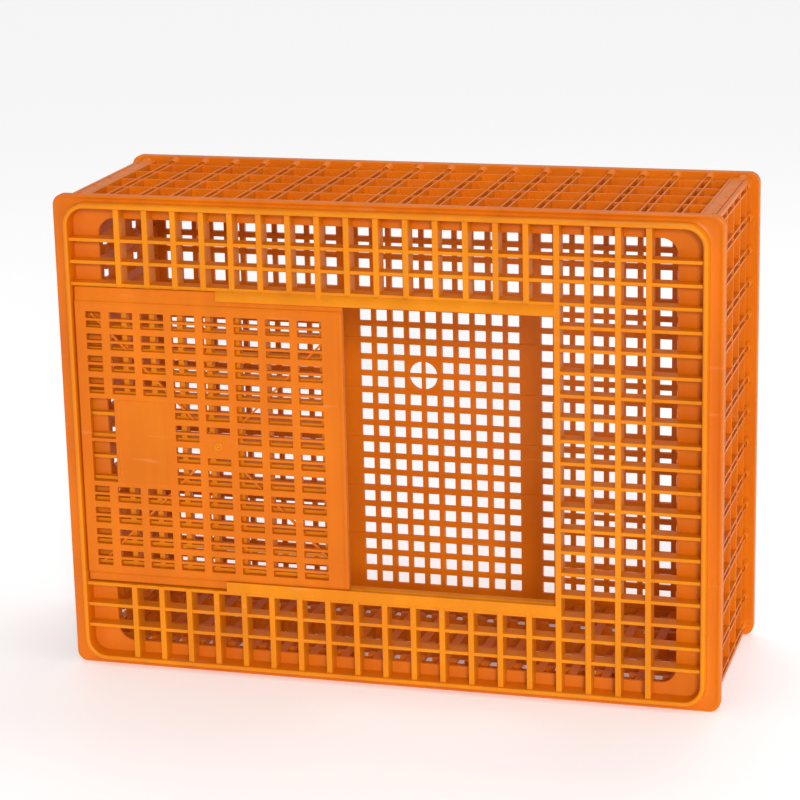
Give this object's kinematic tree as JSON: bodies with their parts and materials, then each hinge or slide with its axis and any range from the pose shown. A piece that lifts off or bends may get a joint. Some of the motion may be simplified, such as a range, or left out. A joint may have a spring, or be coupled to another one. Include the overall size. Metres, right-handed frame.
{
  "type": "poultry transport crate",
  "caption": "Stackable plastic crate for carrying live poultry: latticed lid with a sliding grille door, ribbed walls and a holed floor panel, standing on one long side.",
  "frame": {"origin": "middle of the side the crate stands on, at floor level, under the centre of its bounding box", "axes": "+X along the crate's length, +Z up across its width, +Y from the lid and its sliding door towards the floor panel; in use the crate lies on its floor panel with -Y upwards"},
  "size_m": [0.75, 0.27, 0.55],
  "materials": {
    "crate_plastic": "semi-gloss moulded polyethylene, saturated orange",
    "wall_plastic": "semi-gloss moulded polyethylene, saturated orange",
    "door_plastic": "semi-gloss moulded polyethylene, saturated orange"
  },
  "bodies": {
    "crate": {"lid": "crate_plastic", "floor_panel": "crate_plastic", "long_wall_upper": "wall_plastic", "long_wall_lower": "wall_plastic", "end_wall_left": "wall_plastic", "end_wall_right": "wall_plastic"},
    "door": {"sliding_door": "door_plastic"}
  },
  "joints": [
    {"name": "door_slide", "type": "slide", "parent": "crate", "child": "door", "axis": [1, 0, 0], "range_m": [0, 0.234]}
  ]
}
